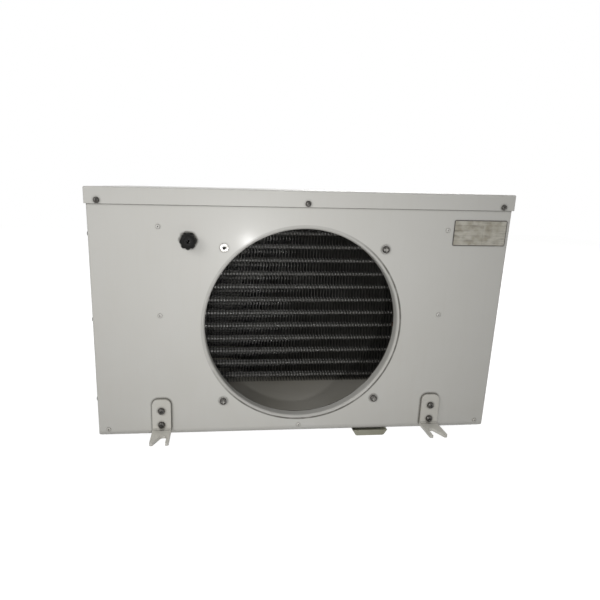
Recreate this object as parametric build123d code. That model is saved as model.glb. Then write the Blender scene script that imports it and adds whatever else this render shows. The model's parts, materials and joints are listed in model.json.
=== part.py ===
from build123d import *
import os
from math import cos, pi, sin

# Walk-in unit cooler with one fan opening: a folded sheet casing, a finned coil behind a plenum,
# a double drain pan, and four slotted foot brackets. Millimetres, +Z up, X to the right as seen
# from the fan side, the fan side faces -Y. The origin is the middle of the face it stands on.

os.makedirs("parts", exist_ok=True)

# ---- casing --------------------------------------------------------------------------------
sheet = 1.2                 # painted casing sheet
casing_width = 612.0
pan_drop = 9.5              # how far the outer drain pan hangs below the casing's lower edge
tray_return = 22.0          # folded edge of the front and rear panels
side_bend = 3.5             # outer radius of the upright bends
bottom_bend = 12.0          # outer radius of the lower bend
corner_radius = 8.0         # rounded lower corners of the front and rear panels
side_flange = 20.0          # inward flanges of the side panels
slip = 0.3                  # clearance of parts that slide into each other

side_screw_lower = 60.0     # lowest side screw above the casing's lower edge
side_screw_upper = 65.0     # highest side screw below the cover's top
side_screws_per_edge = 3

# ---- top cover -----------------------------------------------------------------------------
cover_overhang = 1.3        # gap between the cover's side flanges and the casing
cover_flange = 23.0         # height of the cover's flange
cover_bend = 2.2
upper_bend = 2.2            # outer radius of the panels' bend under the cover
cover_screw_inset = 15.0    # outer screws from the casing's sides, the third one is in the middle
cover_screw_rise = 4.8      # screw centre above the flange's lower edge

# ---- fan opening ---------------------------------------------------------------------------
opening_bore = 292.0        # straight wall of the collar
collar_bend = 4.0           # outer radius of the collar's lip
collar_length = 16.0
panel_below = 25.0          # flat panel below the collar, down to the casing's lower edge
panel_above = 50.0          # flat panel above the collar, up to the top of the cover
fan_fixing_margin = 16.9    # from the collar's lip out to the fan fixings' centres
insert_bore = 5.0           # thread bore of the rivet nuts
insert_barrel = 9.0
insert_flange = 12.0
insert_flange_height = 0.9
insert_length = 14.0
fan_screw_head = 11.0
fan_screw_head_height = 3.6

# ---- coil ----------------------------------------------------------------------------------
plenum_depth = 172.0        # from the front panel's face to the fins
tube_diameter = 9.52
tube_pitch = 25.4           # between tubes of one row
row_pitch = 22.0            # between rows, front to back
rows = 4
coil_foot = 6.35            # fins' lower edge above the casing's lower edge
coil_headroom = 25.0        # least room between the fins and the top of the cover
rear_gap = 30.0             # from the fins to the rear frame's face
fin_margin = 9.9            # fin beyond the outermost tube, up and down
fin_thickness = 0.4
fin_spacing = 5.8
side_room = 87.0            # compartment for the bends, from the tube sheets to the casing's sides
tube_sheet_thickness = 1.5
tube_sheet_flange = 14.0
tube_stub = 9.0             # tube beyond the tube sheet, up to the start of a bend
tube_sides = 8              # tubes inside the coil are drawn with flats, as are their bends
bend_tube_sides = 6
liquid_diameter = 9.52
suction_diameter = 19.0
liquid_offset = 22.0        # manifolds, outward from the tube sheet
suction_offset = 46.0
pipe_exit = 30.0            # free ends of the pipes behind the casing
pipe_connection = 22.0      # swaged end that a fitter's pipe joins
pipe_swage = 0.3            # how much the pipe inside is thinner, on the radius
grommet_wall = 4.0
grommet_flange = 2.0

# ---- plenum partitions ---------------------------------------------------------------------
partition_flange = 17.0
partition_rivet_inset = 9.0     # from the tube sheets' inner faces
partition_rivet_top = 53.0      # upper rivets, below the top of the cover
partition_rivet_rise = 18.0     # lower rivets, above the opening's centre
partition_foot = 19.0       # lower end of the partition's front flange, above the casing's edge

# ---- drain side ----------------------------------------------------------------------------
pan_gap = 0.6               # between the fins and the inner pan's floor
pan_wall = 10.6
pan_bend = 8.0
pan_corner = 12.0
pan_rivet_inset = 15.0      # from the casing's sides
pan_rivet_rise = 13.5       # above the casing's lower edge
outer_pan_rim = 7.0         # rim's gap to the side panels
outer_pan_setback = 14.0    # rim's front edge behind the front panel's face
outer_pan_slope = 8.0       # how much the walls lean inward
lip_centre = 118.0          # middle of the lip under the front panel
lip_top_width = 57.0
lip_bottom_width = 45.0
lip_corner = 4.0
lip_setback = 1.5
drain_x = 118.0
drain_diameter = 20.0
drain_bore = 16.0
drain_exit = 26.0
drain_connection = 16.0     # plain end that a hose slips on
drain_thread_step = 0.2     # how much the thread under the locknut is thinner, on the radius
drain_relief = 2.0          # groove between the thread and the plain end
drain_relief_depth = 1.0
drain_flange = 32.0
drain_flange_height = 3.0
drain_nut_across = 30.0
drain_nut_height = 8.0
drain_ear_width = 60.0
drain_ear_height = 25.0
window_inset = 24.0         # air window of the rear frame, from the tube sheets' inner faces
window_sill = 41.0          # window's lower edge above the casing's lower edge
window_head = 35.0          # window's upper edge below the top of the cover

# ---- foot brackets -------------------------------------------------------------------------
bracket_inset = 8.0         # bracket's middle from the tube sheets' inner faces
bracket_thickness = 4.5
bracket_width = 28.0
bracket_plate = 49.0        # plate's height above the leg's upper face
bracket_leg_rise = 13.5     # leg's upper face above the casing's lower edge
bracket_leg = 40.0          # leg's reach in front of the casing
bracket_bend = 2.0          # inner bend radius
bracket_top_radius = 9.0
bracket_bolt_low = 8.0      # lower bolt above the leg's upper face
bracket_bolt_pitch = 23.0
bolt_diameter = 5.0
bolt_head = 10.0
bolt_head_height = 3.6
nut_across = 8.0
nut_height = 4.0
slot_width = 8.0            # narrow part of the open slot
slot_depth = 19.0
slot_inner_prong = 5.0      # prong on the side of the unit's middle
slot_outer_tip = 4.5        # width of the outer prong's tip

# ---- cable gland and rating plate ----------------------------------------------------------
gland_inset = 138.0         # gland's centre from the casing's left side
gland_drop = 72.0           # and below the top of the cover
gland_thread = 16.0
gland_flange_across = 21.0
gland_flange_height = 4.5
gland_collar = 13.0         # threaded collar that the clamping nut turns on
gland_collar_length = 9.0
gland_inner_length = 11.0
gland_bore = 10.0
gland_nut_core = 19.6
gland_nut_lobe = 3.2
gland_nut_lobes = 8
gland_nut_length = 9.5
gland_nut_mouth = 11.5
gland_nut_end = 1.8         # end wall that traps the seal
gland_clearance = 0.3
seal_bore = 6.0
locknut_across = 21.0
locknut_height = 4.0
plate_inset = 6.0           # rating plate's edge from the casing's right side
plate_drop = 37.75          # and its upper edge below the top of the cover
plate_width = 81.0
plate_height = 37.5
plate_thickness = 0.6

# ---- fasteners -----------------------------------------------------------------------------
fastener_sides = 8          # heads and shanks are drawn with flats
head_taper = 0.72           # face of a screw or rivet head, as a share of its seat
screw_head = 7.8
screw_head_height = 2.6
screw_shank = 4.0
screw_length = 11.0
hole_clearance = 0.15       # round a shank, on the radius
rivet_head = 6.4
rivet_head_height = 1.2
rivet_shank = 3.2
rivet_length = 6.0
rivet_tail = 4.6

# ---- derived places ------------------------------------------------------------------------
x_side = casing_width / 2
opening_flat = opening_bore / 2 + collar_bend   # radius where the collar leaves the flat panel
casing_height = panel_below + 2 * opening_flat + panel_above    # lower edge to the cover's top
casing_depth = plenum_depth + rows * row_pitch + rear_gap
y_front = -casing_depth / 2
z_low = pan_drop
z_top = z_low + casing_height
z_ceiling = z_top - sheet
z_centre = z_low + panel_below + opening_flat
x_wall = x_side - sheet                         # side panels' outer faces
x_inside = x_wall - sheet
y_coil = y_front + plenum_depth
y_coil_back = y_coil + rows * row_pitch
coil_room = casing_height - coil_foot - coil_headroom
tubes_per_row = int((coil_room - 2 * fin_margin) / tube_pitch + 0.5)    # rows are staggered
z_fin_low = z_low + coil_foot
z_fin_top = z_fin_low + (tubes_per_row - 0.5) * tube_pitch + 2 * fin_margin
z_coil = (z_fin_low + z_fin_top) / 2
z_floor = z_fin_low - pan_gap                   # inner pan's floor
x_sheet = x_side - side_room                    # tube sheets' inner faces
x_sheet_out = x_sheet + tube_sheet_thickness
front_tube_z = z_fin_low + fin_margin
fan_fixing_offset = (opening_flat + fan_fixing_margin) / 2 ** 0.5
bracket_x = x_sheet - bracket_inset
z_leg = z_low + bracket_leg_rise                # brackets' leg, upper face


def export(name, *solids):
    """Write one node, as one solid or a group of separate ones."""
    shape = solids[0] if len(solids) == 1 else Compound(children=list(solids))
    shape.label = name
    export_step(shape, f"parts/{name}.step")


def block(x0, x1, y0, y1, z0, z1):
    return Pos((x0 + x1) / 2, (y0 + y1) / 2, (z0 + z1) / 2) * Box(x1 - x0, y1 - y0, z1 - z0)


def rod(radius, x, z, y0, y1):
    """Round bar along Y."""
    return Pos(x, (y0 + y1) / 2, z) * Rot(90, 0, 0) * Cylinder(radius, y1 - y0)


def prism(radius, x, z, y0, y1, sides=fastener_sides, taper=1.0):
    """Bar with flats along Y, from the face at y0 to a smaller or larger one at y1."""
    start = Plane(origin=(x, y0, z), x_dir=(1, 0, 0), z_dir=(0, 1, 0))
    near = start * RegularPolygon(radius, sides)
    far = start.offset(y1 - y0) * RegularPolygon(radius * taper, sides)
    return Solid.make_loft([near.face().outer_wire(), far.face().outer_wire()], True)


def rod_x(radius, y, z, x0, x1):
    """Round bar along X."""
    return Pos((x0 + x1) / 2, y, z) * Rot(0, 90, 0) * Cylinder(radius, x1 - x0)


def turned(points, x, y, z):
    """Solid of revolution about a line along Y; points are (radius, y from the seat)."""
    profile = make_face(Polyline(*points, close=True))
    return Pos(x, y, z) * revolve(profile, Axis.Y)


def hexagon(across, x, z, y0, y1):
    flat = RegularPolygon(across / 2, 6, major_radius=False)
    return Pos(x, y1, z) * Rot(90, 0, 0) * extrude(flat, y1 - y0)


def to_rear(shape):
    return mirror(shape, about=Plane.XZ)


def to_left(shape):
    return mirror(shape, about=Plane.YZ)


def folded_sheet(points, bend, thickness, side):
    """Closed outline of a bent strip, drawn along the face that the points follow."""
    line = FilletPolyline(*points, radius=bend)
    return make_face(offset(line, amount=thickness, side=side, closed=True))


# ---- fasteners -----------------------------------------------------------------------------
def pan_screw(x, z, y_seat, head, head_height, shank, length):
    """Pan-head screw that points to +Y."""
    top = prism(head / 2, x, z, y_seat, y_seat - head_height, taper=head_taper)
    return top + prism(shank / 2, x, z, y_seat, y_seat + length)


def blind_rivet(x, z, y_seat, grip):
    """Set blind rivet that points to +Y: low head, shank and a spread tail."""
    head = prism(rivet_head / 2, x, z, y_seat, y_seat - rivet_head_height, taper=head_taper)
    shank = prism(rivet_shank / 2, x, z, y_seat, y_seat + rivet_length)
    tail = prism(rivet_tail / 2, x, z, y_seat + grip + slip, y_seat + rivet_length, taper=head_taper)
    return head + shank + tail


# ---- casing --------------------------------------------------------------------------------
def tray_body(inset):
    """Solid with the tray's rounded outline, shrunk by the inset on every closed side."""
    half, z0, z1 = x_side - inset, z_low + inset, z_ceiling - inset
    y0, y1 = y_front + inset, y_front + tray_return + (1 if inset else 0)
    reach = 2 * casing_width
    front_view = Pos(0, (z0 + z1) / 2) * Rectangle(2 * half, z1 - z0)
    front_view = fillet(front_view.vertices().sort_by(Axis.Y)[:2], corner_radius - inset)
    side_view = Pos((y0 + y1) / 2, (z0 + z1) / 2) * Rectangle(y1 - y0, z1 - z0)
    lower_front = side_view.vertices().sort_by(lambda v: v.X + v.Y)[0]
    side_view = fillet([lower_front], bottom_bend - inset)
    upper_front = side_view.vertices().sort_by(lambda v: v.Y - v.X)[-1]
    side_view = fillet([upper_front], upper_bend - inset)
    top_view = Pos(0, (y0 + y1) / 2) * Rectangle(2 * half, y1 - y0)
    top_view = fillet(top_view.vertices().sort_by(Axis.Y)[:2], side_bend - inset)
    body = extrude(Plane.XZ * front_view, reach, both=True)
    body = body & extrude(Plane.YZ * side_view, reach, both=True)
    return body & extrude(top_view, reach, both=True)


def casing_tray():
    """Front or rear panel: a shallow folded tray, open on the side that faces the coil."""
    return tray_body(0) - tray_body(sheet)


def collar_ring():
    """Drawn collar: the sheet rolls inward round the opening and runs back as a short tube."""
    r_bore, r_flat = opening_bore / 2, opening_flat
    inner = collar_bend - sheet
    lip = collar_bend * (1 - sin(pi / 4))
    lip_in = collar_bend - inner * sin(pi / 4)
    outer_arc = ThreePointArc((r_flat, 0), (r_bore + lip, lip), (r_bore, collar_bend))
    inner_arc = ThreePointArc((r_bore + sheet, collar_bend), (r_bore + lip_in, lip_in), (r_flat, sheet))
    outline = [
        outer_arc,
        Line((r_bore, collar_bend), (r_bore, collar_length)),
        Line((r_bore, collar_length), (r_bore + sheet, collar_length)),
        Line((r_bore + sheet, collar_length), (r_bore + sheet, collar_bend)),
        inner_arc,
        Line((r_flat, sheet), (r_flat, 0)),
    ]
    return Pos(0, y_front, z_centre) * revolve(make_face(outline), Axis.Y)


def shank_holes(places, shank):
    """Cutting rods for holes through the front wall at (x, z) places."""
    radius = shank / 2 + hole_clearance
    return [rod(radius, x, z, y_front - 2 * bracket_thickness, y_front + 3 * sheet) for x, z in places]


cover_screw_z = z_top - cover_flange + cover_screw_rise
cover_screw_x = x_side - cover_screw_inset
cover_screw_places = [(x, cover_screw_z) for x in (-cover_screw_x, 0, cover_screw_x)]
fan_places = [
    (sx * fan_fixing_offset, z_centre + sz * fan_fixing_offset)
    for sx in (-1, 1) for sz in (-1, 1)
]
empty_fan_place = (-fan_fixing_offset, z_centre + fan_fixing_offset)
partition_rivet_places = [
    (sx * (x_sheet - partition_rivet_inset), z)
    for sx in (-1, 1) for z in (z_top - partition_rivet_top, z_centre + partition_rivet_rise)
]
pan_rivet_x = x_side - pan_rivet_inset
pan_rivet_places = [(x, z_low + pan_rivet_rise) for x in (-pan_rivet_x, 0, pan_rivet_x)]
bolt_places = [
    (sx * bracket_x, z_leg + bracket_bolt_low + n * bracket_bolt_pitch)
    for sx in (-1, 1) for n in (1, 0)
]
gland_x = gland_inset - x_side
gland_z = z_top - gland_drop


def front_panel():
    panel = casing_tray()
    panel -= rod(opening_flat, 0, z_centre, y_front - 1, y_front + 2 * sheet)
    panel += collar_ring()
    panel -= shank_holes(cover_screw_places, screw_shank)
    panel -= shank_holes(fan_places, insert_barrel)
    panel -= shank_holes(partition_rivet_places + pan_rivet_places, rivet_shank)
    panel -= shank_holes(bolt_places, bolt_diameter)
    panel -= shank_holes([(gland_x, gland_z)], gland_thread)
    return panel


pipe_exits = [
    (x_sheet_out + liquid_offset, front_tube_z + (tubes_per_row - 1) * tube_pitch, liquid_diameter),
    (x_sheet_out + suction_offset, front_tube_z + (tubes_per_row - 0.5) * tube_pitch, suction_diameter),
]
drain_z = z_floor + drain_diameter / 2 + sheet


def rear_frame():
    frame = casing_tray()
    window_x = x_sheet - window_inset
    frame -= block(-window_x, window_x, y_front - 1, y_front + 2 * sheet,
                   z_low + window_sill, z_top - window_head)
    frame -= shank_holes(cover_screw_places, screw_shank)
    frame -= shank_holes(pan_rivet_places, rivet_shank)
    frame -= shank_holes(bolt_places, bolt_diameter)
    for x, z, diameter in pipe_exits:
        frame -= rod(diameter / 2 + grommet_wall - 1, x, z, y_front - 1, y_front + 2 * sheet)
    frame -= shank_holes([(drain_x, drain_z)], drain_diameter)
    return to_rear(frame)


def top_cover():
    """Flat lid with flanges folded down over all four sides."""
    half_x, half_y = x_side + cover_overhang + sheet, casing_depth / 2 + sheet
    z0 = z_top - cover_flange

    def body(inset):
        solid = block(-half_x + inset, half_x - inset, -half_y + inset, half_y - inset,
                      z0 - (1 if inset else 0), z_top - inset)
        edges = solid.edges().filter_by(Axis.Z) + solid.edges().group_by(Axis.Z)[-1]
        return fillet(edges, cover_bend - inset)

    cover = body(0) - body(sheet)
    for side in (0, 1):
        holes = Compound(children=shank_holes(cover_screw_places, screw_shank))
        cover -= to_rear(holes) if side else holes
    return cover


side_screw_pitch = (casing_height - side_screw_lower - side_screw_upper) / (side_screws_per_edge - 1)
side_screw_places = [
    (sy * (casing_depth / 2 - tray_return / 2), z_low + side_screw_lower + n * side_screw_pitch)
    for sy in (-1, 1) for n in range(side_screws_per_edge)
]


def side_panel():
    """Right side panel: a plain web inside the trays' folded edges, flanged in between."""
    web_half = casing_depth / 2 - side_bend - 0.5
    flange_half = casing_depth / 2 - tray_return - slip
    bend = corner_radius - sheet
    channel = [
        (x_wall - side_flange, z_low), (x_wall, z_low),
        (x_wall, z_ceiling - slip), (x_wall - side_flange, z_ceiling - slip),
    ]
    channel_face = folded_sheet(channel, bend, sheet, Side.LEFT)
    panel = extrude(Plane.XZ * channel_face, flange_half, both=True)
    panel += block(x_inside, x_wall, -web_half, web_half, z_low + corner_radius + slip,
                   z_ceiling - corner_radius - slip)
    for y, z in side_screw_places:
        panel -= rod_x(screw_shank / 2 + hole_clearance, y, z, x_inside - 1, x_wall + 1)
    return panel


def side_screw_holes(panel):
    """Holes of the side screws through a tray's folded edges."""
    for y, z in side_screw_places:
        for sx in (-1, 1):
            x0, x1 = sorted((sx * (x_side - 2 * sheet), sx * (x_side + 1)))
            panel -= rod_x(screw_shank / 2 + hole_clearance, y, z, x0, x1)
    return panel


# ---- drain side ----------------------------------------------------------------------------
def inner_pan():
    """Shallow pan under the coil, with a raised ear at the back for the drain spout."""
    half_x, half_y = x_inside - slip, casing_depth / 2 - sheet
    z0, z1 = z_floor - sheet, z_floor + pan_wall

    def body(inset):
        solid = block(-half_x + inset, half_x - inset, -half_y + inset, half_y - inset,
                      z0 + inset, z1 + (1 if inset else 0))
        solid = fillet(solid.edges().filter_by(Axis.Z), pan_corner - inset)
        return fillet(solid.edges().group_by(Axis.Z)[0], pan_bend - inset)

    pan = body(0) - body(sheet)
    pan += block(drain_x - drain_ear_width / 2, drain_x + drain_ear_width / 2,
                 half_y - sheet, half_y, z1, z1 + drain_ear_height)
    pan -= shank_holes(pan_rivet_places, rivet_shank)
    pan -= to_rear(Compound(children=shank_holes(pan_rivet_places, rivet_shank)))
    pan -= rod(drain_diameter / 2 + hole_clearance, drain_x, drain_z, half_y - pan_bend, half_y + 1)
    return pan


outer_rim_x, outer_rim_y = x_inside - outer_pan_rim, casing_depth / 2 - outer_pan_setback
outer_rim_z = z_low + sheet
outer_mouth_x = x_wall - side_flange - 2
outer_mouth_y = casing_depth / 2 - tray_return - 2
outer_foot_x, outer_foot_y = outer_mouth_x - outer_pan_slope, outer_mouth_y - outer_pan_slope


def tapered_pan(inset, z_from, z_to):
    """Frustum of the outer pan, shrunk by the inset."""
    foot = RectangleRounded(2 * (outer_foot_x - inset), 2 * (outer_foot_y - inset), pan_corner - inset)
    mouth = RectangleRounded(2 * (outer_mouth_x - inset), 2 * (outer_mouth_y - inset), pan_corner - inset)
    return loft([Pos(0, 0, z_from) * foot, Pos(0, 0, z_to) * mouth])


def lip_profile(inset):
    top, bottom = lip_top_width / 2 - inset, lip_bottom_width / 2 - inset
    z_lip = z_low - slip + (1 if inset else 0)
    outline = Polygon((lip_centre - bottom, inset), (lip_centre + bottom, inset),
                      (lip_centre + top, z_lip), (lip_centre - top, z_lip), align=None)
    return fillet(outline.vertices().sort_by(Axis.Y)[:2], lip_corner - inset)


def outer_pan():
    """Outer drain pan: rim on the casing's inward flanges, leaning walls, and a front lip."""
    z_rim = outer_rim_z + sheet
    pan = tapered_pan(0, 0, z_rim)
    rim = Pos(0, 0, outer_rim_z) * extrude(RectangleRounded(2 * outer_rim_x, 2 * outer_rim_y, pan_corner), sheet)
    lip_front, lip_back = y_front + lip_setback, -outer_foot_y + sheet
    lip = extrude(Plane.XZ.offset(-lip_front) * lip_profile(0), -(lip_back - lip_front))
    lip_inside = extrude(Plane.XZ.offset(-lip_front - sheet) * lip_profile(sheet), -(lip_back - lip_front))
    return (pan + rim + lip) - tapered_pan(sheet, sheet, z_rim + sheet) - lip_inside


def pan_insulation():
    """Foam block that fills the space between the two pans."""
    half_x, half_y = outer_foot_x - sheet - slip, outer_foot_y - sheet - slip
    foam = RectangleRounded(2 * half_x, 2 * half_y, pan_corner - sheet)
    return Pos(0, 0, sheet) * extrude(foam, z_floor - 2 * sheet)


def drain_spout():
    """Flanged tube from the inner pan through the rear frame."""
    y_wall = casing_depth / 2 - 2 * sheet
    r_out, r_in, r_flange = drain_diameter / 2, drain_bore / 2, drain_flange / 2
    end = 2 * sheet + drain_exit
    shoulder = end - drain_connection
    r_thread, r_neck = r_out - drain_thread_step, r_out - drain_relief_depth
    points = (
        (r_in, -drain_flange_height), (r_flange, -drain_flange_height), (r_flange, 0), (r_thread, 0),
        (r_thread, shoulder - drain_relief), (r_neck, shoulder - drain_relief), (r_neck, shoulder),
        (r_out, shoulder), (r_out, end), (r_in, end),
    )
    spout = turned(points, drain_x, y_wall, drain_z)
    bend_top = z_floor + pan_bend - sheet
    trim = block(drain_x - drain_flange, drain_x + drain_flange,
                 y_wall - drain_flange_height - 1, y_wall, 0, bend_top)
    trim -= rod(r_out, drain_x, drain_z, y_wall - 5, y_wall + 1)
    return spout - trim


def drain_locknut():
    y0 = casing_depth / 2
    nut = hexagon(drain_nut_across, drain_x, drain_z, y0, y0 + drain_nut_height)
    return nut - rod(drain_diameter / 2 + hole_clearance, drain_x, drain_z, y0 - 1, y0 + drain_nut_height + 1)


# ---- air path and coil ---------------------------------------------------------------------
z_partition_top = z_ceiling - upper_bend - slip
joint_rivet_pitch = 90.0
y_joint = y_coil - slip                         # where the partition meets the tube sheet


def partition():
    """Right-hand plenum wall, flanged to the front panel and to the tube sheet."""
    y0, y1 = y_front + sheet, y_joint
    strip = [
        (x_sheet - partition_flange, y0 + sheet), (x_sheet, y0 + sheet),
        (x_sheet, y1), (x_sheet_out + tube_sheet_flange, y1),
    ]
    face = folded_sheet(strip, 2 * sheet, sheet, Side.RIGHT)
    wall = Pos(0, 0, z_floor) * extrude(face, z_partition_top - z_floor)
    notch_top = z_low + partition_foot
    wall -= block(0, x_side, y_front, y_front + pan_bend + 3 * sheet, 0, notch_top)
    wall -= shank_holes([(x, z) for x, z in partition_rivet_places if x > 0], rivet_shank)
    wall -= shank_holes([(x, z) for x, z in bolt_places if x > 0], bolt_diameter)
    for x, z in joint_rivet_places():
        wall -= rod(rivet_shank / 2 + hole_clearance, x, z, y1 - 2 * sheet, y1 + sheet)
    return wall


def joint_rivet_places():
    x = x_sheet_out + tube_sheet_flange * 0.6
    return [(x, z_coil + n * joint_rivet_pitch) for n in (-1, 0, 1)]


def tube_sheet():
    """Right-hand tube sheet with flanges folded outward, standing on the inner pan."""
    y0, y1 = y_joint, y_coil_back + slip
    x0, x1 = x_sheet, x_sheet_out + tube_sheet_flange
    channel = [(x1, y0), (x0, y0), (x0, y1), (x1, y1)]
    face = folded_sheet(channel, 2 * tube_sheet_thickness, tube_sheet_thickness, Side.RIGHT)
    plate = Pos(0, 0, z_floor) * extrude(face, z_fin_top + pan_gap - z_floor)
    for x, z in joint_rivet_places():
        plate -= rod(rivet_shank / 2 + hole_clearance, x, z, y0 - 1, y0 + 2 * tube_sheet_thickness)
    return plate


def coil_fins():
    count = int((2 * x_sheet - fin_spacing) / fin_spacing)
    first = -(count - 1) * fin_spacing / 2
    return [
        block(first + n * fin_spacing - fin_thickness / 2, first + n * fin_spacing + fin_thickness / 2,
              y_coil, y_coil_back, z_fin_low, z_fin_top)
        for n in range(count)
    ]


def tube_place(row, n):
    """Centre (y, z) of a tube: rows are staggered by half a pitch."""
    y = y_coil + (row + 0.5) * row_pitch
    z = front_tube_z + n * tube_pitch + (tube_pitch / 2 if row % 2 else 0)
    return y, z


def coil_tubes():
    reach = x_sheet_out + tube_stub
    section = Plane.YZ.offset(-reach) * RegularPolygon(tube_diameter / 2, tube_sides)
    tube = extrude(section, 2 * reach)
    return [Pos(0, *tube_place(row, n)) * tube for row in range(rows) for n in range(tubes_per_row)]


def return_bend(place_a, place_b, x_face):
    """Half-round tube between two tube ends, bulging away from the middle of the coil."""
    (ya, za), (yb, zb) = place_a, place_b
    out = 1 if x_face > 0 else -1
    ym, zm = (ya + yb) / 2, (za + zb) / 2
    radius = ((yb - ya) ** 2 + (zb - za) ** 2) ** 0.5 / 2
    steps = 4
    points = []
    for k in range(steps + 1):
        along, bulge = -cos(pi * k / steps), sin(pi * k / steps)
        points.append((x_face + out * radius * bulge,
                       ym + along * (yb - ya) / 2, zm + along * (zb - za) / 2))
    path = Polyline(*points)
    start = Plane(origin=points[0], z_dir=(out, 0, 0), x_dir=(0, 1, 0))
    section = start * RegularPolygon(tube_diameter / 2, bend_tube_sides)
    return sweep(section, path=path, transition=Transition.RIGHT)


def circuits():
    """Pairs of tube ends joined at the left and at the right of the coil, two rows per circuit."""
    left, right = [], []
    last = tubes_per_row - 1
    for row in range(0, rows, 2):
        for n in range(last, 0, -2):
            left.append(((row, n), (row, n - 1)))
            left.append(((row + 1, n), (row + 1, n - 1)))
        left.append(((row, 0), (row + 1, 0)))
        for n in range(last - 1, 0, -2):
            right.append(((row, n), (row, n - 1)))
            right.append(((row + 1, n), (row + 1, n - 1)))
    return left, right


def manifold(first_row, offset_x, diameter):
    """Straight pipe to the back of the casing, with a branch to the top tube of every other row."""
    x = x_sheet_out + offset_x
    last = tubes_per_row - 1
    feeds = [tube_place(row, last) for row in range(first_row, rows, 2)]
    y0 = feeds[0][0] - diameter
    z = feeds[0][1]
    y_end = casing_depth / 2 + pipe_exit
    pipe = rod(diameter / 2 - pipe_swage, x, z, y0, y_end - pipe_connection)
    pipe += rod(diameter / 2, x, z, y_end - pipe_connection, y_end)
    for y, _ in feeds:
        pipe += rod_x(tube_diameter / 2 - pipe_swage, y, z, x_sheet_out + tube_stub, x)
    return pipe


def pipe_grommet(x, z, diameter):
    """Rubber ring with a groove on the rear frame's edge."""
    r_in, r_neck = diameter / 2 - pipe_swage + 0.02, diameter / 2 + grommet_wall - 1.15
    r_out = diameter / 2 + grommet_wall + 0.5
    back = casing_depth / 2
    points = (
        (r_in, -grommet_flange), (r_out, -grommet_flange), (r_out, 0), (r_neck, 0),
        (r_neck, sheet), (r_out, sheet), (r_out, sheet + grommet_flange), (r_in, sheet + grommet_flange),
    )
    return turned(points, x, back - sheet, z)


# ---- foot brackets -------------------------------------------------------------------------
def foot_bracket():
    """Front right bracket: a plate on the casing and a leg with an open slot."""
    z_plate = z_leg + bracket_plate
    path = [(y_front, z_plate), (y_front, z_leg - bracket_thickness),
            (y_front - bracket_leg, z_leg - bracket_thickness)]
    bend = bracket_bend + bracket_thickness
    face = folded_sheet(path, bend, bracket_thickness, Side.RIGHT)
    bracket = extrude(Plane.YZ * face, bracket_width / 2, both=True)
    top_corners = bracket.edges().filter_by(Axis.Y).group_by(Axis.Z)[-1]
    bracket = fillet(top_corners, bracket_top_radius)
    tips = bracket.edges().filter_by(Axis.Z).group_by(Axis.Y)[0]
    bracket = fillet(tips, slot_outer_tip / 2)
    # Open slot: straight on the inner side, flared towards the outer prong's tip.
    x_in = -bracket_width / 2 + slot_inner_prong
    x_out = x_in + slot_width
    x_tip = bracket_width / 2 - slot_outer_tip
    y_tip = y_front - bracket_leg
    slot = Polygon((x_in, y_tip - 1), (x_tip, y_tip - 1), (x_tip, y_tip),
                   (x_out, y_tip + slot_depth), (x_in, y_tip + slot_depth), align=None)
    ends = slot.vertices().group_by(Axis.Y)[-1]
    slot = fillet(ends, slot_width * 0.42)
    bracket -= Pos(0, 0, z_leg - 2 * bracket_thickness) * extrude(slot, 3 * bracket_thickness)
    bracket = Pos(bracket_x, 0, 0) * bracket
    bracket -= shank_holes([(x, z) for x, z in bolt_places if x > 0], bolt_diameter)
    return bracket


def hex_nut(x, z, y0):
    nut = hexagon(nut_across, x, z, y0, y0 + nut_height)
    return nut - rod(bolt_diameter / 2 + hole_clearance, x, z, y0 - 1, y0 + nut_height + 1)


# ---- fan interface -------------------------------------------------------------------------
def rivet_nut(x, z):
    """Set rivet nut: flange outside, threaded barrel behind the sheet."""
    r_bore, r_barrel, r_flange = insert_bore / 2, insert_barrel / 2, insert_flange / 2
    points = (
        (r_bore, -insert_flange_height), (r_flange, -insert_flange_height), (r_flange, 0),
        (r_barrel, 0), (r_barrel, insert_length), (r_bore, insert_length),
    )
    return turned(points, x, y_front, z)


def fan_screw(x, z):
    seat = y_front - insert_flange_height
    return pan_screw(x, z, seat, fan_screw_head, fan_screw_head_height,
                     insert_bore - 2 * hole_clearance, insert_length)


# ---- cable gland ---------------------------------------------------------------------------
def gland_body():
    y_face = y_front
    body = hexagon(gland_flange_across, gland_x, gland_z, y_face - gland_flange_height, y_face)
    body += rod(gland_collar / 2, gland_x, gland_z,
                y_face - gland_flange_height - gland_collar_length, y_face - gland_flange_height)
    body += rod(gland_thread / 2, gland_x, gland_z, y_face, y_face + gland_inner_length)
    return body - rod(gland_bore / 2, gland_x, gland_z,
                      y_face - gland_flange_height - gland_collar_length - 1, y_face + gland_inner_length + 1)


def gland_locknut():
    y0 = y_front + sheet
    nut = hexagon(locknut_across, gland_x, gland_z, y0, y0 + locknut_height)
    return nut - rod(gland_thread / 2 + hole_clearance, gland_x, gland_z, y0 - 1, y0 + locknut_height + 1)


gland_nut_back = y_front - gland_flange_height - gland_clearance
gland_nut_front = gland_nut_back - gland_nut_length - gland_nut_end


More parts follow.
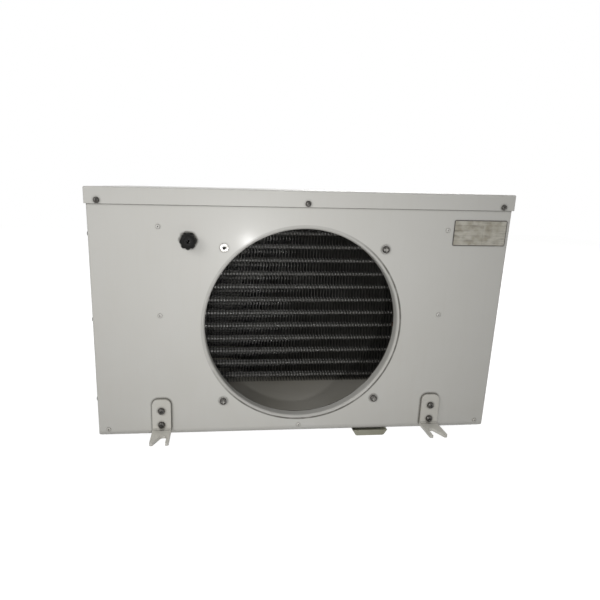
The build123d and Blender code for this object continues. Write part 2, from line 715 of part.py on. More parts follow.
def gland_nut():
    """Clamping nut with a lobed grip, turned on the gland's collar."""
    grip = Circle(gland_nut_core / 2)
    for k in range(gland_nut_lobes):
        angle = 2 * pi * k / gland_nut_lobes
        reach = gland_nut_core / 2 - gland_nut_lobe * 0.4
        grip += Pos(reach * cos(angle), reach * sin(angle)) * Circle(gland_nut_lobe)
    nut = Pos(gland_x, gland_nut_back, gland_z) * Rot(90, 0, 0) * extrude(grip, gland_nut_length)
    cone = ((0, 0), (gland_nut_core / 2, 0), (gland_nut_mouth / 2 + 1.2, -gland_nut_end), (0, -gland_nut_end))
    nut += turned(cone, gland_x, gland_nut_back - gland_nut_length, gland_z)
    nut -= rod(gland_collar / 2 + gland_clearance, gland_x, gland_z,
               gland_nut_back - gland_nut_length, gland_nut_back + 1)
    return nut - rod(gland_nut_mouth / 2, gland_x, gland_z, gland_nut_front - 1, gland_nut_back)


def gland_seal():
    """Rubber bush inside the gland, seen through the nut's mouth."""
    y0 = gland_nut_front + gland_nut_end / 2
    y1 = y_front - gland_flange_height - gland_collar_length - slip
    face = y_front - gland_flange_height - gland_collar_length
    r_in = seal_bore / 2
    r_mouth = gland_nut_mouth / 2 - gland_clearance
    r_plug = gland_bore / 2 - 0.05
    points = (
        (r_in, y0), (r_mouth, y0), (r_mouth, face), (r_plug, face), (r_plug, face + 8), (r_in, face + 8),
    )
    return turned(points, gland_x, 0, gland_z)


def rating_plate():
    plate = RectangleRounded(plate_width, plate_height, 2)
    x, z = x_side - plate_inset - plate_width / 2, z_top - plate_drop - plate_height / 2
    return Pos(x, y_front, z) * Rot(90, 0, 0) * extrude(plate, plate_thickness)


# ---- nodes ---------------------------------------------------------------------------------
export("front_panel", side_screw_holes(front_panel()))
export("rear_frame", side_screw_holes(rear_frame()))
export("top_cover", top_cover())
right_side = side_panel()
export("side_panel_right", right_side)
export("side_panel_left", to_left(right_side))

export("inner_pan", inner_pan())
export("pan_insulation", pan_insulation())
export("outer_pan", outer_pan())
export("drain_spout", drain_spout())
export("drain_locknut", drain_locknut())

right_partition = partition()
export("partition_right", right_partition)
export("partition_left", to_left(right_partition))
right_tube_sheet = tube_sheet()
export("tube_sheet_right", right_tube_sheet)
export("tube_sheet_left", to_left(right_tube_sheet))
export("coil_fins", *coil_fins())
export("coil_tubes", *coil_tubes())
left_joins, right_joins = circuits()
bend_face = x_sheet_out + tube_stub
export("hairpin_bends", *[return_bend(tube_place(*a), tube_place(*b), -bend_face) for a, b in left_joins])
export("return_bends", *[return_bend(tube_place(*a), tube_place(*b), bend_face) for a, b in right_joins])
export("liquid_manifold", manifold(0, liquid_offset, liquid_diameter))
export("suction_header", manifold(1, suction_offset, suction_diameter))
export("pipe_grommets", *[pipe_grommet(*place) for place in pipe_exits])

front_right = foot_bracket()
export("foot_bracket_front_right", front_right)
export("foot_bracket_front_left", to_left(front_right))
export("foot_bracket_rear_right", to_rear(front_right))
export("foot_bracket_rear_left", to_left(to_rear(front_right)))
bolts = [
    pan_screw(x, z, y_front - bracket_thickness, bolt_head, bolt_head_height, bolt_diameter,
              bracket_thickness + 2 * sheet + nut_height + 1)
    for x, z in bolt_places
]
nuts_front = [hex_nut(x, z, y_front + 2 * sheet) for x, z in bolt_places]
nuts_rear = [to_rear(hex_nut(x, z, y_front + sheet)) for x, z in bolt_places]
export("bracket_bolts", *bolts, *[to_rear(bolt) for bolt in bolts])
export("bracket_nuts", *nuts_front, *nuts_rear)

cover_screws = [
    pan_screw(x, z, y_front - sheet, screw_head, screw_head_height, screw_shank, screw_length)
    for x, z in cover_screw_places
]
export("cover_screws", *cover_screws, *[to_rear(screw) for screw in cover_screws])
export("fan_rivet_nuts", *[rivet_nut(x, z) for x, z in fan_places])
export("fan_screws", *[fan_screw(x, z) for x, z in fan_places if (x, z) != empty_fan_place])
export("partition_rivets", *[blind_rivet(x, z, y_front, 2 * sheet) for x, z in partition_rivet_places])
pan_rivets = [blind_rivet(x, z, y_front, 2 * sheet) for x, z in pan_rivet_places]
export("pan_rivets", *pan_rivets, *[to_rear(rivet) for rivet in pan_rivets])


def side_screw(y, z):
    screw = pan_screw(0, 0, 0, screw_head, screw_head_height, screw_shank, screw_length)
    return Pos(x_side, y, z) * Rot(0, 0, 90) * screw


right_screws = [side_screw(y, z) for y, z in side_screw_places]
export("side_screws", *right_screws, *[to_left(screw) for screw in right_screws])
joint_rivets = [blind_rivet(x, z, y_joint - sheet, sheet + tube_sheet_thickness)
                for x, z in joint_rivet_places()]
export("joint_rivets", *joint_rivets, *[to_left(rivet) for rivet in joint_rivets])

export("gland_body", gland_body())
export("gland_locknut", gland_locknut())
export("gland_nut", gland_nut())
export("gland_seal", gland_seal())
export("rating_plate", rating_plate())
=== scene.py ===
"""Looks of a walk-in unit cooler: finishes, lights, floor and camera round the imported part."""

import json
import math

import bpy
from mathutils import Matrix, Vector


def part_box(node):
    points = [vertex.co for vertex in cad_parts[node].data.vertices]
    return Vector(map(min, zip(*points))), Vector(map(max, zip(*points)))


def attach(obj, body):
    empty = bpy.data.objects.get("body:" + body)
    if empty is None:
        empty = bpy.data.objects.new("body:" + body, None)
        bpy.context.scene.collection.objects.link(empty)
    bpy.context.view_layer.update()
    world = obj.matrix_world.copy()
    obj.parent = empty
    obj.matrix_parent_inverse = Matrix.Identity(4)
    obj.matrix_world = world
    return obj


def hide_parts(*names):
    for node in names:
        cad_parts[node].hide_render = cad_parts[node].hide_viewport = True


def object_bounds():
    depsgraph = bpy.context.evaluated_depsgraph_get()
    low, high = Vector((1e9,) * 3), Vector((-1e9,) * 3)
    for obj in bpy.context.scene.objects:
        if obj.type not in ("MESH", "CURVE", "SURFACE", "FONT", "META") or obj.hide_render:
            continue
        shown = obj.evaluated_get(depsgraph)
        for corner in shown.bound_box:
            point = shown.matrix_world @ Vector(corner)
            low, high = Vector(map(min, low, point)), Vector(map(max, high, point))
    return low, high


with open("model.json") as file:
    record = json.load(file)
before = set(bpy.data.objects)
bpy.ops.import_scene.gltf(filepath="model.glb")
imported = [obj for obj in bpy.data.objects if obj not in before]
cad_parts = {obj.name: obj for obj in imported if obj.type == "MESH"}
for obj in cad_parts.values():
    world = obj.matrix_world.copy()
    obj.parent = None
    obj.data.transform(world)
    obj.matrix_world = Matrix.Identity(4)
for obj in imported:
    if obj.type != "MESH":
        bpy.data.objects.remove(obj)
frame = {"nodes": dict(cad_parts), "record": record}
cad_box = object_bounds()

MM = 0.001

# ---------------------------------------------------------------- where things are

low, high = cad_box
plate_low, plate_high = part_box("rating_plate")
fins_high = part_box("coil_fins")[1]
mounts = {m["name"]: Vector(m["pos_m"]) for m in frame["record"]["mounts"]}
opening = mounts["fan_opening"]
panel_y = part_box("foot_bracket_front_left")[1].y

collar_depth = 16 * MM    # from the panel's face to the collar's free rim
bend_reach = 150.5 * MM   # radius where the collar leaves the flat panel
fin_spacing = 5.8 * MM
fin_count = round(2 * fins_high.x / fin_spacing) + 1

# ---------------------------------------------------------------- fastener sizes

screw_head, screw_height, screw_shank = 7.8 * MM, 2.6 * MM, 4.0 * MM
bolt_head, bolt_height, bolt_shank = 10.0 * MM, 3.6 * MM, 5.0 * MM
fan_screw_head, fan_screw_shank = 11.0 * MM, 4.7 * MM
rivet_head, rivet_height, rivet_shank = 6.4 * MM, 1.2 * MM, 3.2 * MM
fastener_gap = 14 * MM    # vertices nearer than this, across the axis, belong to one fastener
ring_segments = 32

# ---------------------------------------------------------------- camera and light sizes

camera_left = 124.9 * MM
camera_above = 205.2 * MM
camera_distance = 610.4 * MM
camera_pan = math.radians(5.08)
camera_tilt = math.radians(-12.01)
camera_roll = math.radians(1.29)
camera_lens = 25.95
camera_shift = (0.072, -0.037)

lamp_left = 43 * MM
lamp_above = 49 * MM
lamp_size = 22 * MM
lamp_power = 1.25
fill_power = 0.92
ambient = 0.14
background_white = 1.0
floor_reach = 3.0
floor_glow = 0.95
floor_tone = (0.3, 0.3, 0.295)

fill_left, fill_above, fill_size = 30 * MM, 40 * MM, 90 * MM   # of the camera
left_lamp, left_size, left_power = (-0.9, -0.9, 0.8), 0.7, 4.7
back_lamp, back_size, back_power = (0.9, 1.9, 1.7), 1.3, 32.0
right_lamp, right_size, right_power = (1.9, 0.5, 1.0), 1.0, 17.0

# ---------------------------------------------------------------- node helpers


class Surface:
    """A material under construction. Colours are linear, sizes are metres in the part's frame."""

    def __init__(self, name):
        self.material = bpy.data.materials.new(name)
        self.material.use_nodes = True
        self.tree = self.material.node_tree
        self.tree.nodes.clear()
        self.output = self.tree.nodes.new("ShaderNodeOutputMaterial")
        self.place = self.add("ShaderNodeTexCoord").outputs["Object"]

    def add(self, kind, inputs=None, **settings):
        """One node with its settings, and its inputs given by name or number as values or sockets."""
        node = self.tree.nodes.new(kind)
        for key, value in settings.items():
            setattr(node, key, value)
        for key, value in (inputs or {}).items():
            if isinstance(value, bpy.types.NodeSocket):
                self.tree.links.new(value, node.inputs[key])
            else:
                node.inputs[key].default_value = value
        return node

    def math(self, operation, *values, clamp=False):
        inputs = dict(enumerate(values))
        return self.add("ShaderNodeMath", inputs, operation=operation, use_clamp=clamp).outputs[0]

    def spread(self, value, start, end, low=0.0, high=1.0):
        """value taken from start..end to low..high, and held at the ends."""
        inputs = {"Value": value, "From Min": start, "From Max": end, "To Min": low, "To Max": high}
        return self.add("ShaderNodeMapRange", inputs, clamp=True).outputs[0]

    def stretched(self, stretch):
        return self.add("ShaderNodeMapping", {"Vector": self.place, "Scale": stretch}).outputs[0]

    def noise(self, size, detail=3.0, stretch=(1, 1, 1), seed=0.0):
        """Soft noise whose lumps are about size across."""
        inputs = {"Vector": self.stretched(stretch), "W": seed, "Scale": 1 / size, "Detail": detail}
        return self.add("ShaderNodeTexNoise", inputs, noise_dimensions="4D").outputs["Fac"]

    def cells(self, size, feature="F1", output="Distance"):
        inputs = {"Vector": self.place, "Scale": 1 / size}
        return self.add("ShaderNodeTexVoronoi", inputs, feature=feature).outputs[output]

    def mix(self, factor, first, second):
        """A colour between two colours."""
        node = self.add("ShaderNodeMix", data_type="RGBA")
        for socket, value in ((0, factor), (6, first), (7, second)):
            if isinstance(value, bpy.types.NodeSocket):
                self.tree.links.new(value, node.inputs[socket])
            else:
                node.inputs[socket].default_value = value if socket == 0 else (*value, 1)
        return node.outputs[2]

    def edges(self, radius):
        """1 where the sheet turns within radius, 0 on its flats."""
        rounded = self.add("ShaderNodeBevel", {"Radius": radius}, samples=4).outputs[0]
        flat = self.add("ShaderNodeNewGeometry").outputs["Normal"]
        lean = self.add("ShaderNodeVectorMath", {0: rounded, 1: flat}, operation="DOT_PRODUCT")
        return self.spread(lean.outputs["Value"], 0.985, 0.8)

    def seams(self, reach):
        """1 deep in the gaps and inner corners within reach, 0 in the open."""
        inputs = {"Distance": reach}
        open_share = self.add("ShaderNodeAmbientOcclusion", inputs, samples=8).outputs["AO"]
        return self.spread(open_share, 0.96, 0.62)

    def height(self):
        return self.add("ShaderNodeSeparateXYZ", {0: self.place}).outputs[2]

    def bump(self, layers, edge_radius=None):
        """Heights in metres, one over the other."""
        normal = None
        if edge_radius:
            normal = self.add("ShaderNodeBevel", {"Radius": edge_radius}, samples=4).outputs[0]
        for value, depth in layers:
            inputs = {"Height": value, "Distance": depth, "Strength": 1.0}
            if normal is not None:
                inputs["Normal"] = normal
            normal = self.add("ShaderNodeBump", inputs).outputs[0]
        return normal

    def finish(self, colour, roughness, normal, metallic=0.0, **fixed):
        inputs = {"Base Color": colour, "Roughness": roughness, "Normal": normal, "Metallic": metallic}
        shader = self.add("ShaderNodeBsdfPrincipled", inputs)
        for key, value in fixed.items():
            shader.inputs[key.replace("_", " ").title().replace("Ior", "IOR")].default_value = value
        self.tree.links.new(shader.outputs[0], self.output.inputs[0])
        return self.material


# ---------------------------------------------------------------- finishes


def collar_shade_mask(s):
    """Painted shade, in patches, where the panel turns into its collar and along the collar's free rim,
    stronger low and to the right; a fainter painted shade covers the collar wall.
    """
    split = s.add("ShaderNodeSeparateXYZ", {0: s.place})
    across = s.math("SUBTRACT", split.outputs[0], opening.x)
    up = s.math("SUBTRACT", split.outputs[2], opening.z)
    squares = s.math("ADD", s.math("POWER", across, 2), s.math("POWER", up, 2))
    reach = s.math("SQRT", squares)
    depth = s.math("SUBTRACT", split.outputs[1], panel_y)
    off_bend = s.math("ABSOLUTE", s.math("SUBTRACT", reach, bend_reach))
    turn = s.math("SUBTRACT", 1, s.spread(off_bend, 0.9 * MM, 1.8 * MM))
    on_face = s.math("LESS_THAN", depth, 3 * MM)
    low_right = s.spread(s.math("SUBTRACT", across, up), -90 * MM, 40 * MM, 0.25, 1.0)
    turn = s.math("MULTIPLY", s.math("MULTIPLY", turn, on_face), low_right)
    rim = s.spread(depth, collar_depth - 2.6 * MM, collar_depth - 1.4 * MM)
    within = s.math("LESS_THAN", reach, bend_reach)
    rim = s.math("MULTIPLY", s.math("MULTIPLY", rim, within), s.spread(low_right, 0, 1, 0.5, 1))
    patchy = s.spread(s.noise(18 * MM, 3, seed=9), 0.25, 0.55, 0.6, 1.0)
    before_rim = s.math("LESS_THAN", depth, collar_depth)
    # painted shade over the inside of the collar wall
    wall = s.math("MULTIPLY", s.math("MULTIPLY", within, before_rim), 0.2)
    return s.math("MAXIMUM", s.math("MULTIPLY", s.math("MAXIMUM", turn, rim), patchy), wall)


def paint(name, white, shade, gloss, wear, darkening, peel=0.004 * MM, worn=(0.2, 0.19, 0.17), collar_shade=0.0):
    """Stoved enamel on sheet: orange peel, soft drifts of tone, darker towards the bottom, streaks and
    chips, rubbed edges, and painted shade in the seams, gaps and inner corners and round the fan collar.
    """
    s = Surface(name)
    drift = s.spread(s.noise(240 * MM, 2, seed=1), 0.2, 0.8)
    colour = s.mix(drift, white, shade)
    # dark tone for the streaks and the darkening low down, and, much darker, for the painted shade in the
    # seams
    grime_and_shade_tone = tuple(c * f for c, f in zip(shade, (0.82, 0.78, 0.69)))
    # darker towards the bottom, in clouds; darkening also sets how strong the streaks are
    low_down = s.spread(s.height(), high.z * 0.6, low.z)
    cloud = s.spread(s.noise(60 * MM, 6, seed=2), 0.3, 0.8)
    darker_low_down = s.math("MULTIPLY", s.math("ADD", s.math("MULTIPLY", low_down, 0.7), 0.3), cloud)
    colour = s.mix(s.math("MULTIPLY", darker_low_down, darkening), colour, grime_and_shade_tone)
    streak = s.spread(s.noise(7 * MM, 3, (1, 1, 0.1), seed=3), 0.5, 0.85)
    colour = s.mix(s.math("MULTIPLY", streak, darkening * 0.3), colour, grime_and_shade_tone)
    rare = s.spread(s.noise(34 * MM, 1, seed=4), 0.6, 0.66)
    speck = s.math("MULTIPLY", s.spread(s.cells(7 * MM), 0.07, 0.03), rare)
    colour = s.mix(s.math("MULTIPLY", speck, 0.3), colour, worn)
    # painted shade: ambient occlusion darkens the seams, gaps and inner corners, and the collar mask adds
    # painted shade round the fan opening
    dust_and_shade = s.math("MAXIMUM", s.seams(4 * MM), s.math("MULTIPLY", collar_shade_mask(s), collar_shade))
    colour = s.mix(s.math("MULTIPLY", dust_and_shade, 0.86), colour, tuple(c * 0.16 for c in grime_and_shade_tone))
    rub = s.spread(s.noise(5 * MM, 4, seed=5), 0.52, 0.66)
    rubbed = s.math("MULTIPLY", s.math("MULTIPLY", s.edges(0.8 * MM), rub), wear)
    colour = s.mix(rubbed, colour, worn)
    smear = s.spread(s.noise(80 * MM, 4, (1, 1, 0.5), seed=6), 0.25, 0.75, gloss * 0.92, gloss * 1.12)
    roughness = s.math("ADD", smear, s.math("MULTIPLY", dust_and_shade, 0.3), clamp=True)
    layers = [
        (s.noise(2.4 * MM, 2, seed=7), peel),
        (s.noise(90 * MM, 1, seed=8), 0.10 * MM),
        (speck, 0.03 * MM),
    ]
    normal = s.bump(layers, edge_radius=0.35 * MM)
    fixed = {"specular_ior_level": 0.22, "coat_weight": 0.07, "coat_roughness": 0.15}
    return s.finish(colour, roughness, normal, **fixed)


def galvanised(name):
    """Zinc spangle: crystals a few millimetres across, each with its own tone and gloss."""
    s = Surface(name)
    crystal = s.cells(9 * MM, output="Color")
    tone = s.add("ShaderNodeSeparateColor", {0: crystal}).outputs[0]
    colour = s.mix(tone, (0.42, 0.44, 0.45), (0.62, 0.63, 0.63))
    bloom = s.spread(s.noise(35 * MM, 4, seed=1), 0.5, 0.75, 0.0, 0.55)
    colour = s.mix(bloom, colour, (0.60, 0.60, 0.58))
    scratch = s.spread(s.noise(3 * MM, 3, (0.04, 1, 1), seed=2), 0.66, 0.72, 0.0, 0.4)
    colour = s.mix(scratch, colour, (0.75, 0.75, 0.74))
    roughness = s.math("ADD", s.spread(tone, 0, 1, 0.28, 0.46), s.math("MULTIPLY", bloom, 0.2))
    border = s.spread(s.cells(9 * MM, "DISTANCE_TO_EDGE"), 0.0, 0.05)
    normal = s.bump([(border, 0.012 * MM), (s.noise(0.9 * MM, 2, seed=3), 0.006 * MM)], 0.25 * MM)
    return s.finish(colour, roughness, normal, metallic=0.9)


def zinc(name, bright, dull, gloss, rust):
    """Plated fasteners: drawn marks, dull patches and a little rust in the corners."""
    s = Surface(name)
    patch = s.spread(s.noise(4 * MM, 4, seed=1), 0.35, 0.65)
    colour = s.mix(patch, bright, dull)
    corner = s.spread(s.noise(2.5 * MM, 5, seed=2), 0.62, 0.74, 0.0, rust)
    colour = s.mix(corner, colour, (0.16, 0.075, 0.035))
    worn = s.math("MULTIPLY", s.edges(0.3 * MM), 0.45)
    colour = s.mix(worn, colour, (0.62, 0.61, 0.58))
    roughness = s.math("ADD", s.spread(patch, 0, 1, gloss, gloss + 0.15), s.math("MULTIPLY", corner, 0.3))
    normal = s.bump([(s.noise(0.7 * MM, 3, seed=3), 0.02 * MM)], 0.2 * MM)
    return s.finish(colour, roughness, normal, metallic=0.92)


def shaded_fin_stock(name):
    """Thin bare fin sheet in tones far darker than bare aluminium, as painted shade for the inside of the
    coil: rolled grain and darker patches in drifts.
    """
    s = Surface(name)
    drift = s.spread(s.noise(50 * MM, 3, seed=1), 0.35, 0.65)
    # painted shade: these dark tones stand in for the shade between the fins, not the colour of bare
    # aluminium
    colour = s.mix(drift, (0.15, 0.147, 0.136), (0.09, 0.087, 0.079))
    dust_and_shade = s.spread(s.noise(14 * MM, 5, seed=2), 0.45, 0.75, 0.0, 0.6)
    colour = s.mix(dust_and_shade, colour, (0.05, 0.047, 0.04))
    roughness = s.math("ADD", s.spread(drift, 0, 1, 0.4, 0.5), s.math("MULTIPLY", dust_and_shade, 0.3))
    ripple = s.noise(1.6 * MM, 2, (1, 1, 0.08), seed=3)
    normal = s.bump([(ripple, 0.02 * MM), (s.noise(20 * MM, 2, seed=4), 0.12 * MM)])
    return s.finish(colour, roughness, normal, metallic=0.6)


def coil_tube(name, collar_end):
    """Fin collars cover the tube between the fins, with a band of painted shade beside each fin; past the
    outer fins it is bare copper.
    """
    s = Surface(name)
    patch = s.spread(s.noise(12 * MM, 4, seed=1), 0.3, 0.7)
    collar = s.mix(patch, (0.92, 0.915, 0.89), (0.74, 0.73, 0.70))
    across = s.add("ShaderNodeSeparateXYZ", {0: s.place}).outputs[0]
    turn = s.math("MULTIPLY", across, 2 * math.pi / fin_spacing)
    near_fin = s.math("COSINE", s.math("ADD", turn, math.pi * (fin_count - 1)))
    # painted shade: a dark band on the collars beside each fin
    shade_beside_fin = s.spread(near_fin, 0.45, 0.95)
    collar = s.mix(s.math("MULTIPLY", shade_beside_fin, 0.85), collar, (0.07, 0.068, 0.06))
    copper_skin = s.mix(patch, (0.70, 0.34, 0.20), (0.42, 0.19, 0.11))
    bare = s.math("GREATER_THAN", s.math("ABSOLUTE", across), collar_end)
    colour = s.mix(bare, collar, copper_skin)
    dust_and_shade = s.spread(s.noise(6 * MM, 5, seed=2), 0.55, 0.85, 0.0, 0.3)
    colour = s.mix(dust_and_shade, colour, (0.22, 0.205, 0.17))
    roughness = s.math("ADD", s.spread(patch, 0, 1, 0.17, 0.24), s.math("MULTIPLY", dust_and_shade, 0.3))
    swell = s.spread(near_fin, -1, 1)
    normal = s.bump([(s.noise(1.2 * MM, 2, seed=3), 0.03 * MM), (swell, 0.9 * MM)])
    return s.finish(colour, roughness, normal, metallic=0.72)


def copper(name):
    """Drawn copper with darker handling marks and brown oxide near the joints."""
    s = Surface(name)
    patch = s.spread(s.noise(16 * MM, 4, seed=1), 0.35, 0.7)
    colour = s.mix(patch, (0.74, 0.37, 0.22), (0.46, 0.20, 0.11))
    oxide = s.spread(s.noise(7 * MM, 5, seed=2), 0.55, 0.72, 0.0, 0.65)
    colour = s.mix(oxide, colour, (0.11, 0.055, 0.035))
    roughness = s.math("ADD", s.spread(patch, 0, 1, 0.2, 0.34), s.math("MULTIPLY", oxide, 0.3))
    drawn = s.noise(1.5 * MM, 2, (1, 0.06, 1), seed=3)
    normal = s.bump([(drawn, 0.012 * MM)])
    return s.finish(colour, roughness, normal, metallic=0.92)


def moulded(
    name, body, pale, gloss, texture, depth, dust_share=0.25, dust_tone=(0.42, 0.40, 0.36), shine=0.5
):
    """Moulded plastic, rubber or foam: a fine skin, drifts of tone, dust and paler edges."""
    s = Surface(name)
    drift = s.spread(s.noise(40 * MM, 3, seed=1), 0.35, 0.65)
    colour = s.mix(drift, body, pale)
    dust_and_shade = s.spread(s.noise(8 * MM, 5, seed=2), 0.5, 0.75, 0.0, dust_share)
    colour = s.mix(dust_and_shade, colour, dust_tone)
    colour = s.mix(s.math("MULTIPLY", s.edges(0.5 * MM), dust_share), colour, dust_tone)
    roughness = s.math("ADD", s.spread(drift, 0, 1, gloss, gloss + 0.12), s.math("MULTIPLY", dust_and_shade, 0.3))
    normal = s.bump([(s.noise(texture, 3, seed=3), depth)], 0.3 * MM)
    return s.finish(colour, roughness, normal, specular_ior_level=shine)


def bare_plate(name):
    """A blank rating plate: stained foil with a thin dark border, ruled into empty fields."""
    s = Surface(name)
    split = s.add("ShaderNodeSeparateXYZ", {0: s.place})
    across, up = split.outputs[0], split.outputs[2]
    middle = (plate_low + plate_high) / 2
    half = (plate_high - plate_low) / 2
    margin, line = 1.2 * MM, 0.45 * MM

    def stripe(value, centre, width=line):
        """1 within half a width of centre."""
        off = s.math("ABSOLUTE", s.math("SUBTRACT", value, centre))
        return s.math("LESS_THAN", off, width / 2)

    def ring(value, centre, reach, width):
        off = s.math("ABSOLUTE", s.math("SUBTRACT", value, centre))
        return s.math("GREATER_THAN", off, reach - width)

    border = s.math(
        "MAXIMUM",
        ring(across, middle.x, half.x, margin * 0.8),
        ring(up, middle.z, half.z, margin * 0.8),
    )
    rules = border
    rows = 5
    for row in range(1, rows):
        at = plate_low.z + (plate_high.z - plate_low.z) * row / rows
        rules = s.math("MAXIMUM", rules, s.math("MULTIPLY", stripe(up, at), 0.45))
    column = stripe(across, middle.x + half.x * 0.1)
    below_title = s.math("LESS_THAN", up, plate_high.z - 2 * half.z / rows)
    rules = s.math("MAXIMUM", rules, s.math("MULTIPLY", s.math("MULTIPLY", column, below_title), 0.45))
    stain = s.spread(s.noise(12 * MM, 4, seed=1), 0.4, 0.7)
    colour = s.mix(stain, (0.48, 0.46, 0.40), (0.32, 0.295, 0.235))
    smudge = s.spread(s.noise(5 * MM, 5, (0.35, 1, 1), seed=4), 0.5, 0.72, 0.0, 0.55)
    colour = s.mix(smudge, colour, (0.13, 0.115, 0.09))
    colour = s.mix(rules, colour, (0.07, 0.063, 0.058))
    scuff = s.spread(s.noise(2.5 * MM, 3, (0.1, 1, 1), seed=2), 0.64, 0.7, 0.0, 0.5)
    colour = s.mix(scuff, colour, (0.62, 0.60, 0.55))
    roughness = s.spread(stain, 0, 1, 0.34, 0.5)
    normal = s.bump([(s.noise(1.1 * MM, 3, seed=3), 0.015 * MM), (rules, -0.02 * MM)], 0.15 * MM)
    return s.finish(colour, roughness, normal, metallic=0.15)


finishes = {
    "white_paint": paint(
        "white_paint", (0.64, 0.632, 0.60), (0.60, 0.59, 0.555), 0.35, wear=0.5, darkening=0.22, collar_shade=1.0
    ),
    "bracket_paint": paint(
        "bracket_paint", (0.66, 0.65, 0.61), (0.60, 0.585, 0.54), 0.4, wear=0.9, darkening=0.4
    ),
    "pan_paint": paint(
        "pan_paint", (0.54, 0.52, 0.47), (0.47, 0.45, 0.40), 0.2, wear=0.4, darkening=0.3
    ),
    "pan_plastic": moulded(
        "pan_plastic", (0.33, 0.325, 0.255), (0.28, 0.275, 0.21), 0.42, 1.4 * MM, 0.03 * MM
    ),
    "foam": moulded("foam", (0.46, 0.45, 0.40), (0.38, 0.37, 0.33), 0.85, 1.5 * MM, 0.25 * MM),
    "galvanised": galvanised("galvanised"),
    "fin_aluminium": shaded_fin_stock("fin_aluminium"),
    "copper": copper("copper"),
    "rubber": moulded(
        "rubber", (0.008, 0.008, 0.008), (0.015, 0.0145, 0.014), 0.62, 0.8 * MM, 0.03 * MM, 0.03,
        shine=0.25,
    ),
    "black_plastic": moulded(
        "black_plastic", (0.004, 0.004, 0.0035), (0.008, 0.008, 0.007), 0.5, 0.6 * MM, 0.012 * MM, 0.015,
        shine=0.16,
    ),
    "dark_zinc": zinc("dark_zinc", (0.105, 0.10, 0.093), (0.055, 0.053, 0.049), 0.3, 0.3),
    "bright_zinc": zinc("bright_zinc", (0.60, 0.59, 0.57), (0.42, 0.41, 0.385), 0.42, 0.25),
    "plate_metal": bare_plate("plate_metal"),
}
tube_finish = coil_tube("collars_and_tube", fins_high.x)

slot_of = {part["node"]: part["material_slot"] for part in frame["record"]["subparts"]}
for name, node in frame["nodes"].items():
    node.data.materials.clear()
    node.data.materials.append(finishes[slot_of[name]])

# ---------------------------------------------------------------- fasteners and tubes


def solids_of(node, axis, apart):
    """(lowest, highest) corner of each separate solid of a node, told apart across the axis."""
    across = [i for i in range(3) if i != axis]
    groups = []
    for vertex in frame["nodes"][node].data.vertices:
        point = vertex.co
        for group in groups:
            near = all(abs(point[i] - group[0][i]) < apart for i in across)
            if near and point[axis] * group[0][axis] >= 0:
                group.append(point.copy())
                break
        else:
            groups.append([point.copy()])
    corners = []
    for group in groups:
        lowest = Vector([min(p[i] for p in group) for i in range(3)])
        highest = Vector([max(p[i] for p in group) for i in range(3)])
        corners.append((lowest, highest))
    return corners


def add_rings(mesh_parts, rings, origin, out, material_of_ring):
    """Rings of (radius by angle, height) closed into a skin round the direction out."""
    vertices, faces, indices = mesh_parts
    side = Vector((0, 0, 1))
    other = out.cross(side)
    first = len(vertices)
    for radius_at, rise in rings:
        for k in range(ring_segments):
            angle = 2 * math.pi * k / ring_segments
            reach = radius_at(angle) if callable(radius_at) else radius_at
            offset = other * (reach * math.cos(angle)) + side * (reach * math.sin(angle))
            vertices.append(origin + offset + out * rise)
    for ring in range(len(rings) - 1):
        for k in range(ring_segments):
            a = first + ring * ring_segments + k
            b = first + ring * ring_segments + (k + 1) % ring_segments
            faces.append((a, b, b + ring_segments, a + ring_segments))
            indices.append(material_of_ring(ring))
    last = first + (len(rings) - 1) * ring_segments
    faces.append(tuple(range(last, last + ring_segments)))
    indices.append(material_of_ring(len(rings) - 1))


def cross_recess(length, width):
    """Outline of a cross as a radius by angle."""

    def radius_at(angle):
        folded = angle % (math.pi / 2)
        folded = min(folded, math.pi / 2 - folded)
        return min(length / 2 / math.cos(folded), width / 2 / max(math.sin(folded), 1e-6))

    return radius_at


def scaled(radius_at, factor):
    return lambda angle: radius_at(angle) * factor


def screw_rings(head, height, shank, length):
    """Domed pan head with a cross recess, its shank and a pointed end."""
    r, cross = head / 2, cross_recess(head * 0.56, head * 0.13)
    return [
        (shank * 0.12, -length), (shank / 2, -length + shank * 0.5), (shank / 2, 0), (r, 0),
        (r, height * 0.42), (r * 0.94, height * 0.66), (r * 0.8, height * 0.86),
        (r * 0.62, height), (cross, height), (scaled(cross, 0.92), height * 0.55),
        (scaled(cross, 0.35), height * 0.4),
    ]


def rivet_rings(head, height, shank, length):
    """Low domed head round the broken end of the mandrel."""
    r, hole = head / 2, head * 0.15
    return [
        (shank * 0.3, -length), (shank / 2, -length + 0.5 * MM), (shank / 2, 0), (r, 0),
        (r * 0.97, height * 0.3), (r * 0.8, height * 0.72), (r * 0.55, height * 0.95),
        (hole * 1.25, height), (hole, height * 0.92), (hole, height * 0.25), (hole * 0.8, height * 0.2),
        (hole * 0.7, height * 0.45),
    ]


